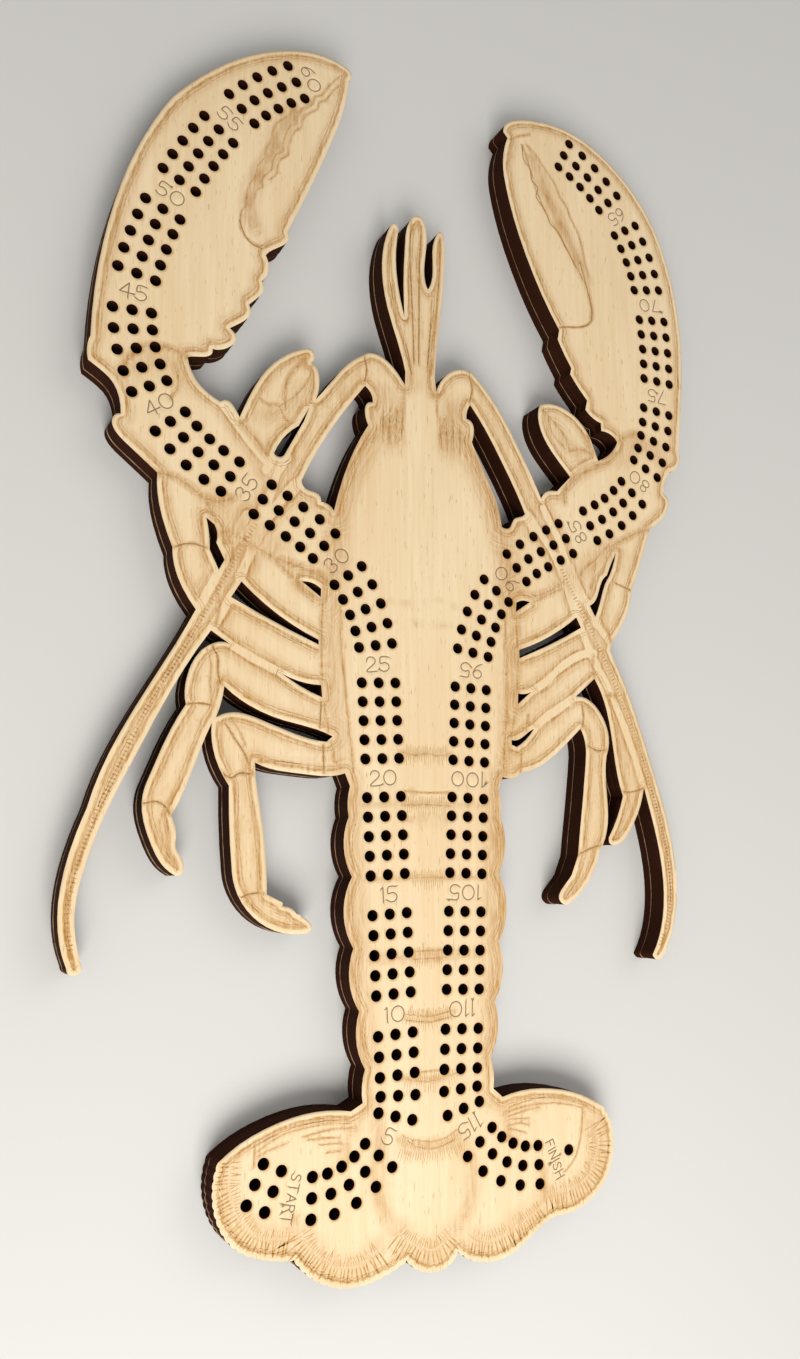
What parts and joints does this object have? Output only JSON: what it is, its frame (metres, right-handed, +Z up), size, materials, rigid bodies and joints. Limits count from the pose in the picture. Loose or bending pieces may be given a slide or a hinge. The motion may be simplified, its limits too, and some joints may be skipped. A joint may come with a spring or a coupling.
{
  "type": "cribbage board",
  "caption": "Lobster-shaped cribbage board of glued plywood with rows of peg holes and a peg store in its underside.",
  "frame": {"origin": "on the underside, below the middle of the outline's length and width", "axes": "+Y from the tail fan towards the claws, +X to the right seen from above, +Z up out of the engraved face"},
  "size_m": [0.2031, 0.3558, 0.0095],
  "materials": {
    "ply": "matte",
    "magnet": "gloss",
    "peg_red": "gloss",
    "peg_green": "gloss",
    "peg_blue": "gloss"
  },
  "bodies": {
    "board": {"top_board": "ply", "middle_board": "ply", "bottom_board": "ply", "board_magnet_tail": "magnet", "board_magnet_head": "magnet", "peg_red_1": "peg_red", "peg_red_2": "peg_red", "peg_green_1": "peg_green", "peg_green_2": "peg_green", "peg_blue_1": "peg_blue", "peg_blue_2": "peg_blue"},
    "hatch": {"store_hatch": "ply", "hatch_magnet_tail": "magnet", "hatch_magnet_head": "magnet"}
  },
  "joints": [
    {"name": "hatch_lift", "type": "slide", "parent": "board", "child": "hatch", "axis": [0, 0, -1], "range_m": [0, 0.03]}
  ]
}
